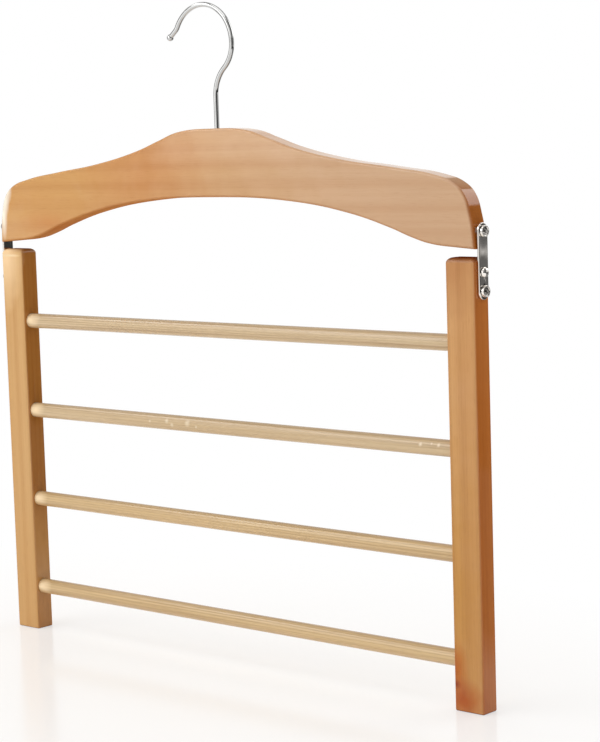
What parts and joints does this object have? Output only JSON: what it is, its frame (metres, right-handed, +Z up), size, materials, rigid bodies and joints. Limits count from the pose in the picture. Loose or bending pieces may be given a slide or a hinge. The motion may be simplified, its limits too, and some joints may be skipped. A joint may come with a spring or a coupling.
{
  "type": "multi tier trouser hanger",
  "caption": "Wooden trouser hanger with a swivel hook, an arched yoke and a ladder of round bars that swings below it on link plates.",
  "frame": {"origin": "where the hook rests on its rail: the highest point on the inside of the hook's loop", "axes": "+X to the right across the hanger, -Y to its front, +Z up"},
  "size_m": [0.3896, 0.0126, 0.3967],
  "materials": {
    "varnished_wood": "satin clear varnish over honey-coloured wood, grain along each piece",
    "pale_wood": "plain sanded pale wood, fine grain along the bar",
    "chromed_wire": "polished",
    "bright_fittings": "polished"
  },
  "bodies": {
    "hook": {"hook": "chromed_wire", "hook_nut": "bright_fittings"},
    "yoke": {"yoke": "varnished_wood", "hook_washer": "bright_fittings", "left_pivot_screw": "bright_fittings", "right_pivot_screw": "bright_fittings"},
    "ladder": {"left_post": "varnished_wood", "right_post": "varnished_wood", "bar_1": "pale_wood", "bar_2": "pale_wood", "bar_3": "pale_wood", "bar_4": "pale_wood", "left_link_plate": "bright_fittings", "right_link_plate": "bright_fittings", "left_domed_screw": "bright_fittings", "right_domed_screw": "bright_fittings", "left_lower_screw": "bright_fittings", "right_lower_screw": "bright_fittings"}
  },
  "joints": [
    {"name": "yoke_swivel", "type": "hinge", "parent": "hook", "child": "yoke", "pos_m": [0.00923, 0, -0.07118], "axis": [0, 0, 1], "continuous": true},
    {"name": "ladder_swing", "type": "hinge", "parent": "yoke", "child": "ladder", "pos_m": [0.00923, 0, -0.13018], "axis": [1, 0, 0], "range_deg": [-120, 120]}
  ]
}
